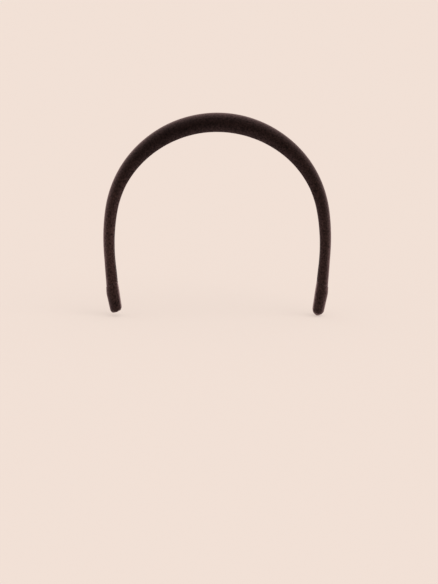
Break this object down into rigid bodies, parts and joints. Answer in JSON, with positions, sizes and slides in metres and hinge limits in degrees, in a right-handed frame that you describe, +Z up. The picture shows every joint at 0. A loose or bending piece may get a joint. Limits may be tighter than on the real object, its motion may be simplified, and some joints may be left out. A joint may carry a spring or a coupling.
{
  "type": "padded headband",
  "caption": "Padded velvet headband: a springy arch that grips the head behind the ears, with a full rounded crown, slimmer legs, a ribbon lining and pouched ends.",
  "frame": {"origin": "the middle of the lining's inner face at the crown, where the band rests on the top of the head", "axes": "+X points to the wearer's left, -Y is the wearer's front, +Z is up; the legs hang towards -Z"},
  "size_m": [0.1646, 0.019, 0.147],
  "materials": {
    "velvet": "short dense pile, soft sheen at the edges",
    "ribbon": "fine crosswise ribs, slight satin",
    "plastic": "moulded, satin",
    "foam": "open-cell foam, matte",
    "adhesive_tape": "thin clear adhesive film",
    "thread": "twisted polyester"
  },
  "bodies": {
    "root": {"core_band": "plastic", "foam_tape": "adhesive_tape", "foam_pad": "foam", "velvet_cover": "velvet", "lining_tape": "adhesive_tape", "lining_ribbon": "ribbon", "left_end_wrap": "velvet", "right_end_wrap": "velvet", "front_edge_stitching": "thread", "rear_edge_stitching": "thread", "left_end_stitching": "thread", "right_end_stitching": "thread"}
  },
  "joints": []
}
